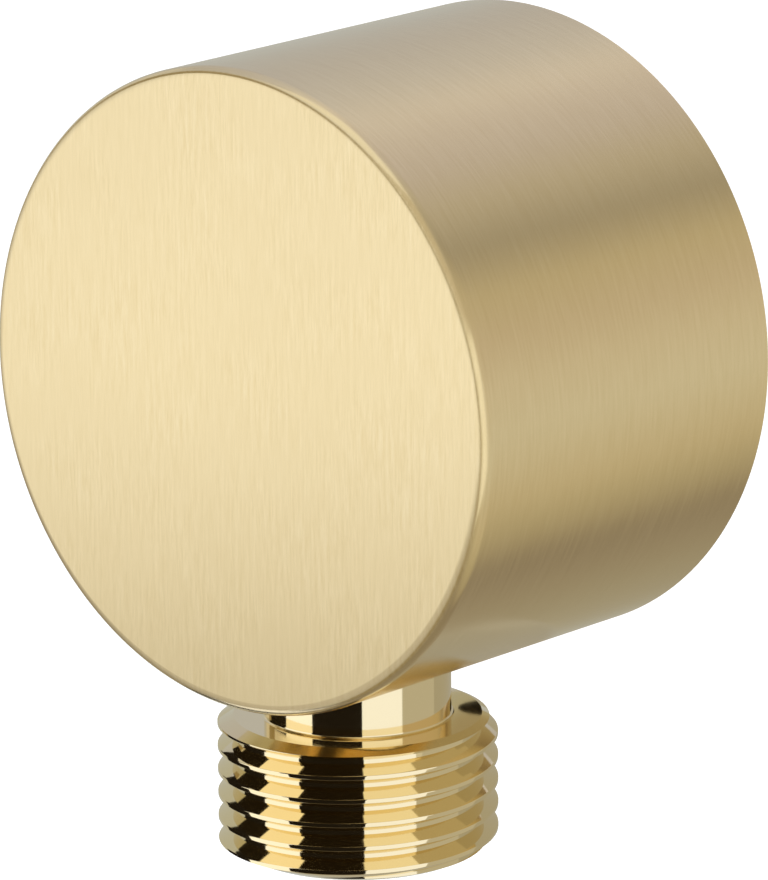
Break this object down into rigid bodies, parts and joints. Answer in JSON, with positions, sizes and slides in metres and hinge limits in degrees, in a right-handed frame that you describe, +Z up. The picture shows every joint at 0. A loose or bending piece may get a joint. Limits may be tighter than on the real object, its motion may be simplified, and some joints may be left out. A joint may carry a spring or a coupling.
{
  "type": "shower wall outlet elbow",
  "caption": "Round solid brass wall outlet elbow: a satin body slips over a wall connector and carries a polished male pipe thread below for a shower hose.",
  "frame": {"origin": "on the axis of the inlet, in the plane of the wall that the body's back face lies on", "axes": "+Y into the wall along the inlet, +Z up, -Z along the outlet towards the hose"},
  "size_m": [0.048, 0.0454, 0.0614],
  "materials": {
    "satin_brass": "satin brushed, vertical grain on the face and grain round the side",
    "polished_brass": "polished",
    "raw_brass": "plain turned",
    "rubber": "matt black",
    "stainless_steel": "plain",
    "grey_plastic": "moulded",
    "white_plastic": "moulded"
  },
  "bodies": {
    "fitting": {"body": "satin_brass", "wall_gasket": "rubber", "grub_screw": "stainless_steel", "wall_connector": "raw_brass", "connector_o_ring_front": "rubber", "connector_o_ring_rear": "rubber", "outlet_nipple": "polished_brass", "nipple_o_ring": "rubber", "valve_seat": "grey_plastic", "valve_o_ring": "rubber", "valve_cage": "white_plastic", "valve_spring": "stainless_steel"},
    "poppet": {"valve_poppet": "white_plastic", "poppet_seal": "rubber"}
  },
  "joints": [
    {"name": "valve_lift", "type": "slide", "parent": "fitting", "child": "poppet", "axis": [0, -1, 0], "range_m": [0, 0.0026], "stiffness_N_per_m": 100, "springref_m": -0.001, "deforming": ["valve_spring"]}
  ]
}
